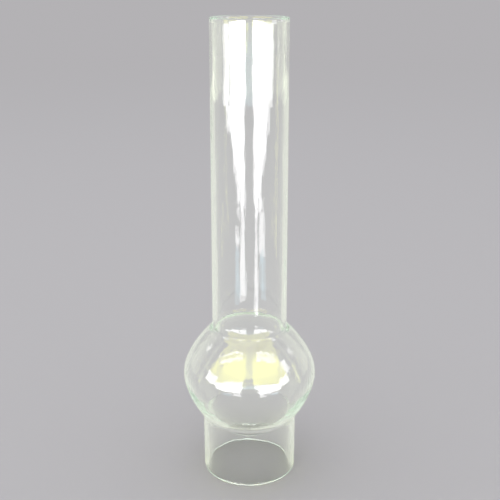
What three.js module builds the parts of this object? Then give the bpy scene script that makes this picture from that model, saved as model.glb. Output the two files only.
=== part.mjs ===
import * as THREE from 'three';

// A lamp chimney of clear blown glass for a 14-line round-wick burner: one wall of glass, open at
// both ends, with a straight collar, an onion-shaped bulb and a long tube. Millimetres, +Z up.
// The origin is the centre of the bottom rim, the face that stands on the burner.

// Driving sizes: heights are from the bottom rim, diameters and radii are on the outer face
const height = 255;
const collarDiameter = 53;
const collarHeight = 34;
const bellyDiameter = 75;
const bellyHeight = 59.6;
const neckDiameter = 41.6;
const neckHeight = 87.8;
const mouthDiameter = 40.4;

// Radii of the bulb's profile, and of the two crisp creases where the tool closed on the soft glass
const bellyArc = 20;
const lowerFlankArc = 54.5;
const upperFlankArc = 59;
const collarCreaseArc = 0.8;
const neckCreaseArc = 1.1;

// Inside, the glass flows past the two creases in wide fillets
const collarFilletArc = 10;
const neckFilletArc = 14;

// Wall thickness: the straight walls at the foot, beside the two creases and at the mouth, and the
// bulb at its belly and where its flanks meet the creases
const footWall = 2.2;
const collarWall = 2.6;
const collarFlankWall = 2.6;
const bellyWall = 1.5;
const neckFlankWall = 1.5;
const neckWall = 2.6;
const mouthWall = 1.9;

// Edges of the cut rims, melted round in the flame
const footEdgeArc = 0.6;
const mouthEdgeArc = 0.8;

// Facet counts
const turnSteps = 72;
const edgeSteps = 3;
const creaseSteps = 3;
const filletSteps = 5;
const flankSteps = 6;
const bellySteps = 8;
const collarSteps = 2;
const tubeSteps = 5;

// The profile is drawn in the plane of radius (x) and height (y)
const pointAt = (radius, level) => new THREE.Vector2(radius, level);
const direction = (angle) => new THREE.Vector2(Math.cos(angle), Math.sin(angle));
const angleFrom = (centre, point) => point.clone().sub(centre).angle();
const signedAngle = (angle) => (angle > Math.PI ? angle - 2 * Math.PI : angle);

const collarRadius = collarDiameter / 2;
const neckRadius = neckDiameter / 2;
const mouthRadius = mouthDiameter / 2;
const bellyCentre = pointAt(bellyDiameter / 2 - bellyArc, bellyHeight);

function arcPoints(centre, radius, start, end, steps) {
  const points = [];
  for (let step = 0; step <= steps; step += 1) {
    const angle = THREE.MathUtils.lerp(start, end, step / steps);
    points.push(centre.clone().addScaledVector(direction(angle), radius));
  }
  return points;
}

function linePoints(start, end, steps) {
  const points = [];
  for (let step = 0; step <= steps; step += 1) {
    points.push(start.clone().lerp(end, step / steps));
  }
  return points;
}

// The centre of a flank: an arc of the given radius that leaves the belly arc without a corner
// and ends at the given point, above or below the belly
function flankTo(end, belly, radius) {
  const reach = end.clone().sub(bellyCentre);
  const shift = radius - belly;
  const cosine = (radius ** 2 - shift ** 2 - reach.lengthSq()) / (2 * shift * reach.length());
  const side = Math.sign(reach.y);
  const joinAngle = Math.atan2(reach.y, reach.x) - side * Math.acos(cosine);
  return { joinAngle, centre: bellyCentre.clone().addScaledVector(direction(joinAngle), -shift) };
}

// A hollow fillet between a flank and the straight wall that leaves the corner in the given
// direction, away from the bulb
function filletAt(corner, away, flank, flankRadius, radius) {
  const outward = pointAt(Math.abs(away.y), -away.x * Math.sign(away.y));
  const start = corner.clone().addScaledVector(outward, radius).sub(flank);
  const along = start.dot(away);
  const travel = Math.sqrt(along ** 2 - start.lengthSq() + (flankRadius + radius) ** 2) - along;
  const centre = start.clone().addScaledVector(away, travel).add(flank);
  return { centre, onWall: centre.clone().addScaledVector(outward, -radius) };
}

// The corner of a crease on this face, where the straight wall would meet the flank
function cornerInside(radius, level, flankArc, wall, flankWall) {
  const { centre } = flankTo(pointAt(radius, level), bellyArc, flankArc);
  const reach = radius - wall - centre.x;
  const rise = Math.sqrt((flankArc - flankWall) ** 2 - reach ** 2);
  return pointAt(radius - wall, centre.y + Math.sign(level - bellyHeight) * rise);
}

// One face of the glass, from the foot to the mouth, set in from the outer face by the walls
function faceOfGlass(walls, collarArc, neckArc, turns) {
  const belly = bellyArc - walls.belly;
  const lowerArc = lowerFlankArc - walls.belly;
  const upperArc = upperFlankArc - walls.belly;
  const foot = pointAt(collarRadius - walls.foot, 0);
  const mouth = pointAt(mouthRadius - walls.mouth, height);
  const collarPlace = [collarRadius, collarHeight, lowerFlankArc];
  const neckPlace = [neckRadius, neckHeight, upperFlankArc];
  const collarCorner = cornerInside(...collarPlace, walls.collar, walls.collarFlank);
  const neckCorner = cornerInside(...neckPlace, walls.neck, walls.neckFlank);

  const lower = flankTo(collarCorner, belly, lowerArc);
  const upper = flankTo(neckCorner, belly, upperArc);
  const down = foot.clone().sub(collarCorner).normalize();
  const up = mouth.clone().sub(neckCorner).normalize();
  const heel = filletAt(collarCorner, down, lower.centre, lowerArc, collarArc);
  const nape = filletAt(neckCorner, up, upper.centre, upperArc, neckArc);

  const heelAngles = [heel.onWall, lower.centre].map((point) => angleFrom(heel.centre, point));
  const napeAngles = [upper.centre, nape.onWall].map((point) => angleFrom(nape.centre, point));
  const lowerStart = signedAngle(angleFrom(lower.centre, heel.centre));
  const upperEnd = angleFrom(upper.centre, nape.centre);
  return [
    ...linePoints(foot.clone().addScaledVector(down, -footEdgeArc), heel.onWall, collarSteps),
    ...arcPoints(heel.centre, collarArc, ...heelAngles, turns),
    ...arcPoints(lower.centre, lowerArc, lowerStart, lower.joinAngle, flankSteps),
    ...arcPoints(bellyCentre, belly, lower.joinAngle, upper.joinAngle, bellySteps),
    ...arcPoints(upper.centre, upperArc, upper.joinAngle, upperEnd, flankSteps),
    ...arcPoints(nape.centre, neckArc, ...napeAngles, turns),
    ...linePoints(nape.onWall, mouth.clone().addScaledVector(up, -mouthEdgeArc), tubeSteps),
  ];
}

const noWalls = { foot: 0, collar: 0, collarFlank: 0, belly: 0, neckFlank: 0, neck: 0, mouth: 0 };
const fullWalls = {
  foot: footWall,
  collar: collarWall,
  collarFlank: collarFlankWall,
  belly: bellyWall,
  neckFlank: neckFlankWall,
  neck: neckWall,
  mouth: mouthWall,
};
const outerFace = faceOfGlass(noWalls, collarCreaseArc, neckCreaseArc, creaseSteps);
const innerFace = faceOfGlass(fullWalls, collarFilletArc, neckFilletArc, filletSteps).reverse();

// The rims: a flat ring, with its two edges rounded
function roundedEdge(corner, inwardX, inwardY, radius) {
  const centre = corner.clone().add(pointAt(inwardX * radius, inwardY * radius));
  const edge = [];
  for (let step = 0; step <= edgeSteps; step += 1) {
    const turn = (step / edgeSteps) * (Math.PI / 2);
    const shift = pointAt(-inwardX * Math.cos(turn), -inwardY * Math.sin(turn));
    edge.push(centre.clone().addScaledVector(shift, radius));
  }
  return edge;
}

const mouthRim = [
  ...roundedEdge(pointAt(mouthRadius, height), -1, -1, mouthEdgeArc),
  ...roundedEdge(pointAt(mouthRadius - mouthWall, height), 1, -1, mouthEdgeArc).reverse(),
];
const footRim = [
  ...roundedEdge(pointAt(collarRadius - footWall, 0), 1, 1, footEdgeArc),
  ...roundedEdge(pointAt(collarRadius, 0), -1, 1, footEdgeArc).reverse(),
];

// One closed outline of the glass, without the points that two stretches share
function closedOutline(points, nearest) {
  const outline = points.filter((point, index) => {
    const before = points[(index + points.length - 1) % points.length];
    return point.distanceTo(before) > nearest;
  });
  outline.push(outline[0].clone());
  return outline;
}

const outline = closedOutline(
  [...outerFace, ...mouthRim, ...innerFace, ...footRim],
  footEdgeArc / edgeSteps / 4,
);

const glass = new THREE.MeshStandardMaterial({
  color: 0xdfeee6,
  roughness: 0.04,
  metalness: 0,
  transparent: true,
  opacity: 0.35,
});

const blownWall = new THREE.LatheGeometry(outline, turnSteps);
blownWall.rotateX(Math.PI / 2);

const glassChimney = new THREE.Mesh(blownWall, glass);
glassChimney.name = 'glass_chimney';

const lampChimney = new THREE.Group();
lampChimney.add(glassChimney);

export default lampChimney;
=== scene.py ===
"""The looks of a blown-glass oil lamp chimney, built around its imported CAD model. Metres, +Z up."""

import math

import bpy
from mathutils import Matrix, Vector


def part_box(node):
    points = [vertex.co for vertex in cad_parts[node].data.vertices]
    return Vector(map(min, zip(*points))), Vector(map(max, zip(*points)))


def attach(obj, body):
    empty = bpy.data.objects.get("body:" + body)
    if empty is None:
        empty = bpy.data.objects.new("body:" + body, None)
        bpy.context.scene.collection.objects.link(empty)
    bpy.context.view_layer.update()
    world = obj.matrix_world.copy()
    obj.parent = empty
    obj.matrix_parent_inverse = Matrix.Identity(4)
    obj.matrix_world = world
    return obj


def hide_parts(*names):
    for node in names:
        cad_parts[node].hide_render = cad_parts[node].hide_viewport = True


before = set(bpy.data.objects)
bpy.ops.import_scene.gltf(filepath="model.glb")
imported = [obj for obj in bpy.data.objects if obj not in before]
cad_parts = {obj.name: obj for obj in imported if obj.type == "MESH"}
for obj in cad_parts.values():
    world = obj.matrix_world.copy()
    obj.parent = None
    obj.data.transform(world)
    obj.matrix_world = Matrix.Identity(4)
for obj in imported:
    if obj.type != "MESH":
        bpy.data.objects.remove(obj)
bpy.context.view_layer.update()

MM = 0.001
QUARTER_TURN = math.pi / 2
FULL_TURN = 2 * math.pi

# Sizes of the glass on its outer face, as in the CAD model
_, high_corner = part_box("glass_chimney")
HEIGHT = high_corner.z
BELLY_RADIUS = high_corner.x
BELLY_HEIGHT = 59.6 * MM
COLLAR_RADIUS = 26.5 * MM
COLLAR_HEIGHT = 34 * MM
NECK_RADIUS = 20.8 * MM
NECK_HEIGHT = 87.8 * MM
MOUTH_RADIUS = 20.2 * MM

# Arcs of the profile: the two creases are crisp outside and have wide fillets inside
BELLY_ARC = 20 * MM
LOWER_FLANK_ARC = 54.5 * MM
UPPER_FLANK_ARC = 59 * MM
COLLAR_CREASE_ARC = 0.8 * MM
NECK_CREASE_ARC = 1.1 * MM
COLLAR_FILLET_ARC = 10 * MM
NECK_FILLET_ARC = 14 * MM

# Wall thickness, and the edges of the rims, melted round
FOOT_WALL = 2.2 * MM
COLLAR_WALL = 2.6 * MM
COLLAR_FLANK_WALL = 2.6 * MM
BELLY_WALL = 1.5 * MM
NECK_FLANK_WALL = 1.5 * MM
NECK_WALL = 2.6 * MM
MOUTH_WALL = 1.9 * MM
FOOT_EDGE = 0.6 * MM
MOUTH_EDGE = 0.8 * MM

# How finely the glass is drawn, and the distance under which two of its points are one
TURN_STEPS = 160
COLLAR_STEPS = 16
FILLET_STEPS = 8
FLANK_STEPS = 18
BELLY_STEPS = 18
TUBE_STEPS = 84
EDGE_STEPS = 4
MERGE_DISTANCE = 0.01 * MM

# The slight waves that blowing leaves in both faces, and where in its noise each set is taken
WAVE_ACROSS = 11 * MM
WAVE_ALONG = 45 * MM
INNER_WAVE = 0.20 * MM
INNER_WAVE_START = 0.3
OUTER_WAVE = 0.14 * MM
OUTER_WAVE_START = 0.7
FINE_ACROSS = 6 * MM
FINE_ALONG = 12 * MM
FINE_WAVE = 0.12 * MM
FINE_WAVE_START = 0.5

# Streaks up the glass, too fine for the mesh, and their strength at shares of the height: weak on
# the collar, strong on the bulb and the tube
STREAK_ACROSS = 2.4 * MM
STREAK_ALONG = 18 * MM
STREAK_HEIGHT = 0.12 * MM
STREAK_DETAIL = 2.0
STREAK_STRENGTHS = ((0, 0.3), (0.19, 0.3), (0.23, 0.7), (0.31, 0.7), (0.36, 0.4), (0.45, 0.7))

# Clear across the wall, green along it
GREEN_OF_THICK_GLASS = (0.05, 0.75, 0.5, 1)
GREEN_DENSITY = 0.95
GLASS_IOR = 1.52

# The pale studio: a round matt floor that fades into the backdrop, and a soft light from above
FLOOR_COLOR = (0.56, 0.55, 0.565, 1)
BACKDROP_COLOR = (0.455, 0.445, 0.46, 1)
FILL_COLOR = (0.82, 0.82, 0.83, 1)
FLOOR_ROUGHNESS = 0.9
FLOOR_RADIUS = 30.0
FLOOR_SIDES = 96
FLOOR_LEVEL = -0.2 * MM
FADE_START = 0.7
FADE_END = 2.5
TOP_PLACE = (-0.3, -0.3, 1.5)
TOP_SIZE = 1.2
TOP_RADIANCE = 0.5

# Which mirror images of a lamp are seen. The depth of a light path that a face of the glass mirrors
# to a lamp is 2 at the outer face of the near wall, 4 at its inner face, and 6 and 8 at the two
# faces of the far wall. A lamp shines on depths above its first number, up to its second.
NEAR_FACES = (0, 4)
INNER_FACE = (3, 4)
FAR_FACES = (4, 8)
ALL_FACES = (0, 8)
TRAPPED_TOO = (0, 400)
HALF_STEP = 0.5
LIGHT_BOUNCES = 160

# Colours of the lamps that the glass mirrors
WHITE = (1, 1, 1)
CREAM = (1, 0.98, 0.08)
SKY = (0.5, 0.85, 1)
ROOM = (0.9, 1, 0.7)
OLIVE = (0.95, 1, 0.3)

# Radiance of the panes that make up the windows
WHITE_PANE = 6.0
CREAM_PANE = 3.4
INNER_WHITE_PANE = 7.0
INNER_CREAM_PANE = 3.8
FAR_CREAM_PANE = 2.3

# Distances of the panels from the axis. Lamps that overlap in one plane would hide each other, so
# each group has a distance of its own, and so do the two groups that lie on the table.
EDGE_DISTANCE = 0.4
GAP_DISTANCE = 0.44
HIGH_GAP_DISTANCE = 0.46
INNER_DISTANCE = 0.47
WINDOW_DISTANCE = 0.5
FAR_DISTANCE = 0.54
ROOM_DISTANCE = 1.5
STRIP_LEVEL = FLOOR_LEVEL / 2
TABLE_GLOW_LEVEL = FLOOR_LEVEL / 4

# Bearings are in degrees round the axis, counted from the front to the right
FRONT = 0

# Walls of the room on either side, each with its two bearings and its radiance, and the light that
# the table throws up, with the side on which it lies
ROOM_HEIGHT = 2.4
ROOM_WALLS = (
    (0, 26, 0.9),
    (26, 80, 0.9),
    (80, 88, 0.35),
    (88, 95, 1.1),
    (95, 103, 0.4),
    (103, 134, 0.95),
    (134, 180, 0.12),
)
TABLE_GLOWS = (("front", -1, 0.4), ("back", 1, 0.3))

# Camera, fitted to the photograph's outline of the glass
CAMERA_LENS = 58.97
CAMERA_SENSOR = 36
CAMERA_DISTANCE = 0.4244
CAMERA_HEIGHT = 0.2746
CAMERA_PITCH = 18.54
CAMERA_SIDE = 0.0003
CAMERA_CLIP = 0.01


def deselect_all():
    bpy.ops.object.select_all(action="DESELECT")


def apply_modifier(piece, kind, **settings):
    modifier = piece.modifiers.new(kind.title(), kind)
    for key, value in settings.items():
        setattr(modifier, key, value)
    bpy.context.view_layer.objects.active = piece
    bpy.ops.object.modifier_apply(modifier=modifier.name)


# The profile of the glass is a list of strokes, lines and arcs, in the plane of radius and height
def angle_from(centre, point):
    return math.atan2(point[1] - centre[1], point[0] - centre[0])


def direction(start, end):
    reach = math.hypot(end[0] - start[0], end[1] - start[1])
    return ((end[0] - start[0]) / reach, (end[1] - start[1]) / reach)


def flank(belly_centre, belly_arc, arc, end):
    """The centre of an arc that leaves the belly arc smoothly and ends at the given point."""
    reach_x, reach_z = end[0] - belly_centre[0], end[1] - belly_centre[1]
    reach = math.hypot(reach_x, reach_z)
    shift = arc - belly_arc
    cosine = (arc**2 - shift**2 - reach**2) / (2 * shift * reach)
    join = math.atan2(reach_z, reach_x) - math.copysign(math.acos(cosine), reach_z)
    centre = (belly_centre[0] - shift * math.cos(join), belly_centre[1] - shift * math.sin(join))
    return centre, join


def crease(corner, away, flank_centre, flank_arc, arc):
    """The hollow fillet between a flank and the straight wall that leaves the corner."""
    outward = (abs(away[1]), -away[0] * math.copysign(1, away[1]))
    start_x = corner[0] + outward[0] * arc - flank_centre[0]
    start_z = corner[1] + outward[1] * arc - flank_centre[1]
    along = start_x * away[0] + start_z * away[1]
    travel = math.sqrt(along**2 - start_x**2 - start_z**2 + (flank_arc + arc) ** 2) - along
    centre_x = start_x + away[0] * travel + flank_centre[0]
    centre_z = start_z + away[1] * travel + flank_centre[1]
    on_wall = (centre_x - outward[0] * arc, centre_z - outward[1] * arc)
    return (centre_x, centre_z), on_wall


def corner_inside(corner, arc, wall, flank_wall):
    """The corner of a crease on one face, where the straight wall would meet the flank."""
    belly_centre = (BELLY_RADIUS - BELLY_ARC, BELLY_HEIGHT)
    centre, _ = flank(belly_centre, BELLY_ARC, arc, corner)
    radius = corner[0] - wall
    rise = math.sqrt((arc - flank_wall) ** 2 - (radius - centre[0]) ** 2)
    return (radius, centre[1] + math.copysign(rise, corner[1] - BELLY_HEIGHT))


def face_strokes(walls, collar_arc, neck_arc):
    """One face of the wall, upwards, set in from the outer face by the given walls."""
    foot_wall, collar_wall, collar_flank_wall, belly_wall, neck_flank_wall, neck_wall, mouth_wall = walls
    belly_centre = (BELLY_RADIUS - BELLY_ARC, BELLY_HEIGHT)
    belly_arc = BELLY_ARC - belly_wall
    lower_arc = LOWER_FLANK_ARC - belly_wall
    upper_arc = UPPER_FLANK_ARC - belly_wall
    foot = (COLLAR_RADIUS - foot_wall, FOOT_EDGE)
    collar = corner_inside((COLLAR_RADIUS, COLLAR_HEIGHT), LOWER_FLANK_ARC, collar_wall, collar_flank_wall)
    neck = corner_inside((NECK_RADIUS, NECK_HEIGHT), UPPER_FLANK_ARC, neck_wall, neck_flank_wall)
    mouth = (MOUTH_RADIUS - mouth_wall, HEIGHT - MOUTH_EDGE)
    lower, lower_join = flank(belly_centre, belly_arc, lower_arc, collar)
    upper, upper_join = flank(belly_centre, belly_arc, upper_arc, neck)
    heel, collar_top = crease(collar, direction(collar, foot), lower, lower_arc, collar_arc)
    nape, tube_foot = crease(neck, direction(neck, mouth), upper, upper_arc, neck_arc)
    heel_turn = (angle_from(heel, collar_top) % FULL_TURN, angle_from(heel, lower) % FULL_TURN)
    nape_turn = (angle_from(nape, upper) % FULL_TURN, angle_from(nape, tube_foot) % FULL_TURN)
    return [
        (None, foot, collar_top, COLLAR_STEPS),
        (heel, *heel_turn, FILLET_STEPS),
        (lower, angle_from(lower, heel), lower_join, FLANK_STEPS),
        (belly_centre, lower_join, upper_join, BELLY_STEPS),
        (upper, upper_join, angle_from(upper, nape), FLANK_STEPS),
        (nape, *nape_turn, FILLET_STEPS),
        (None, tube_foot, mouth, TUBE_STEPS),
    ]


def backwards(strokes):
    return [(centre, end, start, steps) for centre, start, end, steps in reversed(strokes)]


def rim_strokes(outer_radius, wall, level, edge, start):
    """A cut rim, melted round at its two edges, drawn from one face of the wall to the other."""
    inwards = 1 if level > 0 else -1
    lift = level - inwards * edge
    outside, inside = outer_radius - edge, outer_radius - wall + edge
    near, far = (outside, inside) if inwards > 0 else (inside, outside)
    return [
        ((near, lift), start, start + QUARTER_TURN, EDGE_STEPS),
        (None, (near, level), (far, level), 1),
        ((far, lift), start + QUARTER_TURN, start + 2 * QUARTER_TURN, EDGE_STEPS),
    ]


def draw(strokes):
    """Draws the outline in edit mode: its tip is extruded along lines and spun along arcs."""
    for centre, start, end, steps in strokes:
        if centre is None:
            shift = ((end[0] - start[0]) / steps, 0, (end[1] - start[1]) / steps)
            for _ in range(steps):
                bpy.ops.mesh.extrude_vertices_move(TRANSFORM_OT_translate={"value": shift})
        else:
            pivot = (centre[0], 0, centre[1])
            bpy.ops.mesh.spin(steps=steps, angle=end - start, center=pivot, axis=(0, 1, 0))


def merge_doubles():
    bpy.ops.mesh.select_all(action="SELECT")
    bpy.ops.mesh.remove_doubles(threshold=MERGE_DISTANCE)


def group_faces(glass):
    """Groups the vertices of the two faces of the wall, apart from its rims."""
    inner = glass.vertex_groups.new(name="inner_face")
    outer = glass.vertex_groups.new(name="outer_face")
    for vertex in glass.data.vertices:
        if not MOUTH_EDGE < vertex.co.z < HEIGHT - MOUTH_EDGE:
            continue
        outwards = vertex.normal.xy.dot(vertex.co.xy) > 0
        (outer if outwards else inner).add([vertex.index], 1.0, "REPLACE")


def ripple(glass, group, depth, start, across, along):
    """Slight waves in one face of the wall, long up the glass and short round it."""
    waves = bpy.data.textures.new(f"{group}_waves", "CLOUDS")
    waves.noise_scale = 1.0
    waves.noise_depth = 1
    scale = bpy.data.objects.new(f"{group}_scale", None)
    bpy.context.scene.collection.objects.link(scale)
    scale.location = (0, 0, start)
    scale.scale = (across, across, along)
    bpy.context.view_layer.update()
    apply_modifier(
        glass,
        "DISPLACE",
        texture=waves,
        texture_coords="OBJECT",
        texture_coords_object=scale,
        direction="NORMAL",
        strength=depth,
        mid_level=0.5,
        vertex_group=group,
    )
    bpy.data.objects.remove(scale)


def blow_glass():
    """The wall: its outline is drawn, spun round the axis and rippled."""
    walls = (FOOT_WALL, COLLAR_WALL, COLLAR_FLANK_WALL, BELLY_WALL, NECK_FLANK_WALL, NECK_WALL, MOUTH_WALL)
    outer = face_strokes((0,) * len(walls), COLLAR_CREASE_ARC, NECK_CREASE_ARC)
    inner = face_strokes(walls, COLLAR_FILLET_ARC, NECK_FILLET_ARC)
    mouth_rim = rim_strokes(MOUTH_RADIUS, MOUTH_WALL, HEIGHT, MOUTH_EDGE, 0)
    foot_rim = rim_strokes(COLLAR_RADIUS, FOOT_WALL, 0, FOOT_EDGE, 2 * QUARTER_TURN)

    deselect_all()
    bpy.ops.mesh.primitive_plane_add(size=FOOT_EDGE)
    glass = bpy.context.active_object
    glass.name = "blown_wall"
    glass.data.name = "blown_wall"
    bpy.ops.object.mode_set(mode="EDIT")
    bpy.ops.mesh.select_all(action="SELECT")
    bpy.ops.mesh.merge(type="CENTER")
    bpy.ops.transform.translate(value=(COLLAR_RADIUS, 0, FOOT_EDGE))
    draw(outer + mouth_rim + backwards(inner) + foot_rim)
    merge_doubles()
    bpy.ops.mesh.select_all(action="SELECT")
    bpy.ops.mesh.spin(steps=TURN_STEPS, angle=FULL_TURN, center=(0, 0, 0), axis=(0, 0, 1))
    merge_doubles()
    bpy.ops.mesh.normals_make_consistent(inside=False)
    bpy.ops.object.mode_set(mode="OBJECT")
    bpy.ops.object.shade_smooth()

    group_faces(glass)
    ripple(glass, "inner_face", INNER_WAVE, INNER_WAVE_START, WAVE_ACROSS, WAVE_ALONG)
    ripple(glass, "outer_face", OUTER_WAVE, OUTER_WAVE_START, WAVE_ACROSS, WAVE_ALONG)
    ripple(glass, "outer_face", FINE_WAVE, FINE_WAVE_START, FINE_ACROSS, FINE_ALONG)
    return glass


# Finishes
def new_material(name):
    material = bpy.data.materials.new(name)
    material.use_nodes = True
    nodes = material.node_tree.nodes
    links = material.node_tree.links
    return material, nodes, links, nodes["Principled BSDF"]


def calculate(nodes, links, operation, first, second):
    node = nodes.new("ShaderNodeMath")
    node.operation = operation
    for socket, value in zip(node.inputs, (first, second)):
        if isinstance(value, (int, float)):
            socket.default_value = value
        else:
            links.new(value, socket)
    return node.outputs[0]


def streak_strength(nodes, links, coords):
    """The strength of the streaks, by the height on the glass."""
    place = nodes.new("ShaderNodeSeparateXYZ")
    links.new(coords.outputs["Object"], place.inputs["Vector"])
    height_share = calculate(nodes, links, "DIVIDE", place.outputs["Z"], HEIGHT)
    strengths = nodes.new("ShaderNodeValToRGB")
    links.new(height_share, strengths.inputs["Fac"])
    stops = strengths.color_ramp.elements
    first, *between, last = STREAK_STRENGTHS
    for stop, (share, strength) in zip(stops, (first, last)):
        stop.position = share
        stop.color = (strength, strength, strength, 1)
    for share, strength in between:
        stops.new(share).color = (strength, strength, strength, 1)
    return strengths.outputs["Color"]


def streaks_up_the_glass(nodes, links):
    """Fine streaks, long up the glass and short round it, as a bump on its faces."""
    coords = nodes.new("ShaderNodeTexCoord")
    stretch = nodes.new("ShaderNodeMapping")
    stretch.inputs["Scale"].default_value = (1 / STREAK_ACROSS, 1 / STREAK_ACROSS, 1 / STREAK_ALONG)
    links.new(coords.outputs["Object"], stretch.inputs["Vector"])
    streaks = nodes.new("ShaderNodeTexNoise")
    streaks.inputs["Scale"].default_value = 1.0
    streaks.inputs["Detail"].default_value = STREAK_DETAIL
    links.new(stretch.outputs["Vector"], streaks.inputs["Vector"])
    bump = nodes.new("ShaderNodeBump")
    bump.inputs["Distance"].default_value = STREAK_HEIGHT
    links.new(streak_strength(nodes, links, coords), bump.inputs["Strength"])
    links.new(streaks.outputs["Fac"], bump.inputs["Height"])
    return bump.outputs["Normal"]


def clear_glass():
    """Soda-lime glass: clear across the wall, green along it, and finely streaked."""
    material, nodes, links, shader = new_material("clear_green_glass")
    shader.inputs["Base Color"].default_value = (1, 1, 1, 1)
    shader.inputs["Transmission Weight"].default_value = 1.0
    shader.inputs["Roughness"].default_value = 0.0
    shader.inputs["IOR"].default_value = GLASS_IOR
    green = nodes.new("ShaderNodeVolumeAbsorption")
    green.inputs["Color"].default_value = GREEN_OF_THICK_GLASS
    green.inputs["Density"].default_value = GREEN_DENSITY
    links.new(green.outputs["Volume"], nodes["Material Output"].inputs["Volume"])
    links.new(streaks_up_the_glass(nodes, links), shader.inputs["Normal"])
    return material


def seen_rays(nodes, links):
    """The rays that look at the backdrop, also by way of the glass, unless trapped in its wall."""
    path = nodes.new("ShaderNodeLightPath").outputs
    straight = calculate(nodes, links, "MAXIMUM", path["Is Camera Ray"], path["Is Glossy Ray"])
    seen = calculate(nodes, links, "MAXIMUM", straight, path["Is Transmission Ray"])
    undiffused = calculate(nodes, links, "LESS_THAN", path["Diffuse Depth"], HALF_STEP)
    untrapped = calculate(nodes, links, "LESS_THAN", path["Ray Depth"], ALL_FACES[1] + HALF_STEP)
    clear = calculate(nodes, links, "MULTIPLY", undiffused, untrapped)
    return calculate(nodes, links, "MULTIPLY", seen, clear)


def studio_floor():
    """A pale matt table that fades into the backdrop well away from the glass."""
    deselect_all()
    bpy.ops.mesh.primitive_circle_add(vertices=FLOOR_SIDES, radius=FLOOR_RADIUS, fill_type="NGON")
    bpy.ops.transform.translate(value=(0, 0, FLOOR_LEVEL))
    bpy.ops.object.transform_apply(location=True)
    floor = bpy.context.active_object
    floor.name = "studio_floor"
    material, nodes, links, shader = new_material("pale_floor")
    shader.inputs["Base Color"].default_value = FLOOR_COLOR
    shader.inputs["Roughness"].default_value = FLOOR_ROUGHNESS
    shader.inputs["Specular IOR Level"].default_value = 0.0
    coords = nodes.new("ShaderNodeTexCoord")
    length = nodes.new("ShaderNodeVectorMath")
    length.operation = "LENGTH"
    links.new(coords.outputs["Object"], length.inputs[0])
    fade = nodes.new("ShaderNodeMapRange")
    fade.interpolation_type = "SMOOTHSTEP"
    fade.inputs["From Min"].default_value = FADE_START
    fade.inputs["From Max"].default_value = FADE_END
    links.new(length.outputs["Value"], fade.inputs["Value"])
    glow = nodes.new("ShaderNodeEmission")
    glow.inputs["Color"].default_value = BACKDROP_COLOR
    mix = nodes.new("ShaderNodeMixShader")
    amount = calculate(nodes, links, "MULTIPLY", fade.outputs["Result"], seen_rays(nodes, links))
    links.new(amount, mix.inputs["Fac"])
    links.new(shader.outputs["BSDF"], mix.inputs[1])
    links.new(glow.outputs["Emission"], mix.inputs[2])
    links.new(mix.outputs["Shader"], nodes["Material Output"].inputs["Surface"])
    floor.data.materials.append(material)


def studio_world():
    """The backdrop where it is looked at, and a paler fill that lights the table."""
    world = bpy.data.worlds.new("studio_world")
    world.use_nodes = True
    bpy.context.scene.world = world
    nodes, links = world.node_tree.nodes, world.node_tree.links
    mix = nodes.new("ShaderNodeMix")
    mix.data_type = "RGBA"
    mix.inputs["A"].default_value = FILL_COLOR
    mix.inputs["B"].default_value = BACKDROP_COLOR
    links.new(seen_rays(nodes, links), mix.inputs["Factor"])
    links.new(mix.outputs["Result"], nodes["Background"].inputs["Color"])


# Lamps
def aim(thing, target):
    thing.rotation_euler = (Vector(target) - thing.location).to_track_quat("-Z", "Y").to_euler()


def reflected_lamp(name, size, radiance, color, faces=ALL_FACES):
    """A rectangular soft lamp that only reflections in some of the glass's faces show."""
    lamp = bpy.data.lights.new(name, "AREA")
    lamp.shape = "RECTANGLE"
    lamp.size, lamp.size_y = size
    lamp.energy = radiance * math.pi * lamp.size * lamp.size_y
    lamp.color = color
    lamp.use_nodes = True
    nodes, links = lamp.node_tree.nodes, lamp.node_tree.links
    path = nodes.new("ShaderNodeLightPath").outputs
    reflected = calculate(nodes, links, "GREATER_THAN", path["Glossy Depth"], HALF_STEP)
    after = calculate(nodes, links, "GREATER_THAN", path["Ray Depth"], faces[0] + HALF_STEP)
    before = calculate(nodes, links, "LESS_THAN", path["Ray Depth"], faces[1] + HALF_STEP)
    between = calculate(nodes, links, "MULTIPLY", after, before)
    links.new(calculate(nodes, links, "MULTIPLY", reflected, between), nodes["Emission"].inputs["Strength"])
    light = bpy.data.objects.new(name, lamp)
    bpy.context.scene.collection.objects.link(light)
    light.visible_camera = False
    light.visible_diffuse = False
    return light


def soft_panel(
    name, bearings, heights, radiance, color, faces=ALL_FACES, distance=WINDOW_DISTANCE, facing=None
):
    """An upright soft panel between two bearings and two heights.

    Its plane is square to the bearing in facing, or else to the middle of its own two.
    """
    start, end = (math.radians(bearing) for bearing in bearings)
    facing = (start + end) / 2 if facing is None else math.radians(facing)
    left = distance * math.tan(start - facing)
    right = distance * math.tan(end - facing)
    low, high = heights
    light = reflected_lamp(name, (right - left, high - low), radiance, color, faces)
    shift, middle = (left + right) / 2, (low + high) / 2
    front = Vector((math.sin(facing), -math.cos(facing), 0))
    across = Vector((math.cos(facing), math.sin(facing), 0))
    light.location = front * distance + across * shift + Vector((0, 0, middle))
    aim(light, across * shift + Vector((0, 0, middle)))


def table_strip(name, bearings, reach, radiance, color=WHITE):
    """A glowing strip on the table in front of the glass, between two bearings and two distances."""
    start, end = bearings
    near, far = reach
    middle = (near + far) / 2
    width = 2 * middle * math.tan(math.radians((end - start) / 2))
    light = reflected_lamp(name, (width, far - near), radiance, color, NEAR_FACES)
    bearing = math.radians((start + end) / 2)
    light.location = (middle * math.sin(bearing), -middle * math.cos(bearing), STRIP_LEVEL)
    light.rotation_euler = (math.pi, 0, bearing)


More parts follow.
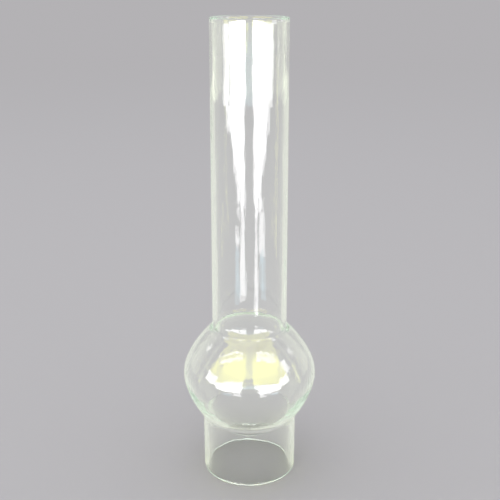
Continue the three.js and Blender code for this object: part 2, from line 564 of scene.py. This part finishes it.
def studio_windows():
    """Two tall windows in front of the glass and to either side, in panes of white and cream."""
    soft_panel("left_sill_pane", (-57, -15), (0.045, 0.14), WHITE_PANE, WHITE, NEAR_FACES, facing=FRONT)
    soft_panel("left_low_pane", (-60, -11.5), (0.14, 0.3), WHITE_PANE, WHITE, NEAR_FACES, facing=FRONT)
    soft_panel("left_step_pane", (-70, -57), (0.118, 0.14), WHITE_PANE, WHITE, NEAR_FACES)
    soft_panel("left_outer_pane", (-79, -60), (0.14, 0.235), WHITE_PANE, WHITE, NEAR_FACES)
    soft_panel("left_middle_pane", (-62, -10), (0.3, 0.68), CREAM_PANE, CREAM, NEAR_FACES, facing=FRONT)
    soft_panel("left_wing_pane", (-76, -62), (0.24, 0.4), CREAM_PANE, CREAM, NEAR_FACES)
    soft_panel("left_rear_pane", (-112, -105), (0.26, 0.33), 2.2, WHITE, NEAR_FACES)
    soft_panel("right_sill_pane", (15, 50), (0.05, 0.14), WHITE_PANE, WHITE, NEAR_FACES, facing=FRONT)
    soft_panel("right_low_pane", (9.5, 52), (0.14, 0.262), WHITE_PANE, WHITE, NEAR_FACES, facing=FRONT)
    soft_panel("right_foot_pane", (15, 36), (0.012, 0.05), WHITE_PANE, WHITE, NEAR_FACES, facing=FRONT)
    soft_panel("right_step_pane", (50, 61), (0.115, 0.14), WHITE_PANE, WHITE, NEAR_FACES)
    soft_panel("right_outer_pane", (52, 71), (0.14, 0.235), WHITE_PANE, WHITE, NEAR_FACES)
    soft_panel("right_middle_pane", (6, 60), (0.262, 0.68), CREAM_PANE, CREAM, NEAR_FACES, facing=FRONT)
    soft_panel("right_wing_pane", (60, 69), (0.22, 0.45), CREAM_PANE, CREAM, NEAR_FACES)
    soft_panel("right_side_pane", (69, 81), (0.23, 0.37), 5.0, WHITE, NEAR_FACES)
    soft_panel("right_rear_pane", (97, 105), (0.262, 0.34), 3.0, WHITE, NEAR_FACES)


def inner_face_windows():
    """The same windows as the inner face of the near wall mirrors them, and the gap between them."""
    for side, bearings in (("left", (-60, -12)), ("right", (12, 56))):
        name = f"{side}_inner_pane"
        soft_panel(name, bearings, (0.02, 0.23), INNER_WHITE_PANE, WHITE, INNER_FACE, INNER_DISTANCE, FRONT)
    soft_panel("left_high_pane", (-62, -8), (0.68, 1.9), INNER_CREAM_PANE, CREAM, INNER_FACE, facing=FRONT)
    soft_panel("left_high_wing_pane", (-78, -62), (0.4, 0.8), INNER_CREAM_PANE, CREAM, INNER_FACE)
    soft_panel("right_high_pane", (6, 60), (0.68, 1.9), INNER_CREAM_PANE, CREAM, INNER_FACE, facing=FRONT)
    soft_panel("right_high_wing_pane", (60, 78), (0.45, 0.8), INNER_CREAM_PANE, CREAM, INNER_FACE)
    soft_panel("high_gap_pane", (-10, 6), (0.3, 1.0), 2.9, CREAM, INNER_FACE, HIGH_GAP_DISTANCE)
    soft_panel("gap_between_windows", (-12, 9.5), (0.15, 0.22), 1.3, SKY, NEAR_FACES, GAP_DISTANCE)
    soft_panel("olive_gap", (-10, 6), (0.3, 0.7), 0.9, OLIVE, ALL_FACES, GAP_DISTANCE)


def far_wall_windows():
    """The same windows as the far wall of the glass mirrors them."""
    for name, bearings, heights, radiance, color in (
        ("far_left_low_pane", (-50, -13), (0.13, 0.205), 15.0, WHITE),
        ("far_left_middle_pane", (-60, -8), (0.2, 0.62), FAR_CREAM_PANE, CREAM),
        ("far_right_low_pane", (13.5, 60), (0.13, 0.195), 14.0, WHITE),
        ("far_right_middle_pane", (8, 60), (0.19, 0.62), FAR_CREAM_PANE, CREAM),
    ):
        soft_panel(name, bearings, heights, radiance, color, FAR_FACES, FAR_DISTANCE, FRONT)


def studio_strips():
    """Strips of light on the table, which draw thin streaks on the tube, and one at either side."""
    table_strip("left_near_strip", (-25, -14), (0.297, 0.69), 5.0)
    table_strip("left_dim_strip", (-42, -30), (0.29, 0.44), 1.8, SKY)
    table_strip("left_low_fleck", (-42, -28), (0.45, 0.49), 5.0)
    table_strip("left_high_fleck", (-38, -28), (0.56, 0.6), 4.0)
    table_strip("left_wide_strip", (-36, -28), (0.62, 0.69), 4.0)
    table_strip("right_near_strip", (17, 24), (0.26, 0.69), 5.0)
    table_strip("right_dim_strip", (34, 48), (0.296, 0.42), 2.2, SKY)
    table_strip("right_wide_fleck", (28, 47), (0.42, 0.61), 4.5)
    soft_panel("left_edge_strip", (-91, -88), (0.003, 0.05), 2.0, OLIVE, distance=EDGE_DISTANCE)
    soft_panel("right_edge_strip", (86, 91), (0.003, 0.2), 1.6, OLIVE, distance=EDGE_DISTANCE)


def studio_room():
    """The pale room round the table, brighter in front, and the light that the table throws up."""
    heights = (0, ROOM_HEIGHT)
    for side in (-1, 1):
        for near, far, radiance in ROOM_WALLS:
            bearings = sorted((side * near, side * far))
            soft_panel(f"room_{side * far}", bearings, heights, radiance, ROOM, TRAPPED_TOO, ROOM_DISTANCE)
    size = (2 * ROOM_DISTANCE, ROOM_DISTANCE)
    for name, side, radiance in TABLE_GLOWS:
        table = reflected_lamp(f"table_{name}", size, radiance, ROOM, TRAPPED_TOO)
        table.location = (0, side * ROOM_DISTANCE / 2, TABLE_GLOW_LEVEL)
        table.rotation_euler = (math.pi, 0, 0)


def overhead_light():
    """A soft square lamp above the table, for the shadow under the glass."""
    lamp = bpy.data.lights.new("soft_top", "AREA")
    lamp.shape = "SQUARE"
    lamp.size = TOP_SIZE
    lamp.energy = TOP_RADIANCE * math.pi * lamp.size**2
    light = bpy.data.objects.new("soft_top", lamp)
    bpy.context.scene.collection.objects.link(light)
    light.location = TOP_PLACE
    light.visible_camera = False


def place_camera():
    camera_data = bpy.data.cameras.new("camera")
    camera = bpy.data.objects.new("camera", camera_data)
    bpy.context.scene.collection.objects.link(camera)
    camera_data.sensor_width = CAMERA_SENSOR
    camera_data.lens = CAMERA_LENS
    camera_data.clip_start = CAMERA_CLIP
    camera.location = (CAMERA_SIDE, -CAMERA_DISTANCE, CAMERA_HEIGHT)
    camera.rotation_euler = (math.radians(90 - CAMERA_PITCH), 0, 0)
    bpy.context.scene.camera = camera


def clear_start_scene():
    for name in ("Cube", "Light", "Camera"):
        if name in bpy.data.objects:
            bpy.data.objects.remove(bpy.data.objects[name])


clear_start_scene()
glass = blow_glass()
glass.data.materials.append(clear_glass())
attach(glass, "root")
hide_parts("glass_chimney")

studio_floor()
studio_world()
studio_windows()
inner_face_windows()
far_wall_windows()
studio_strips()
studio_room()
overhead_light()
place_camera()

scene = bpy.context.scene
scene.view_settings.view_transform = "Standard"
# Light that is trapped in the wall is thrown back many times before it comes out
scene.cycles.max_bounces = LIGHT_BOUNCES
scene.cycles.transmission_bounces = LIGHT_BOUNCES
scene.cycles.glossy_bounces = LIGHT_BOUNCES
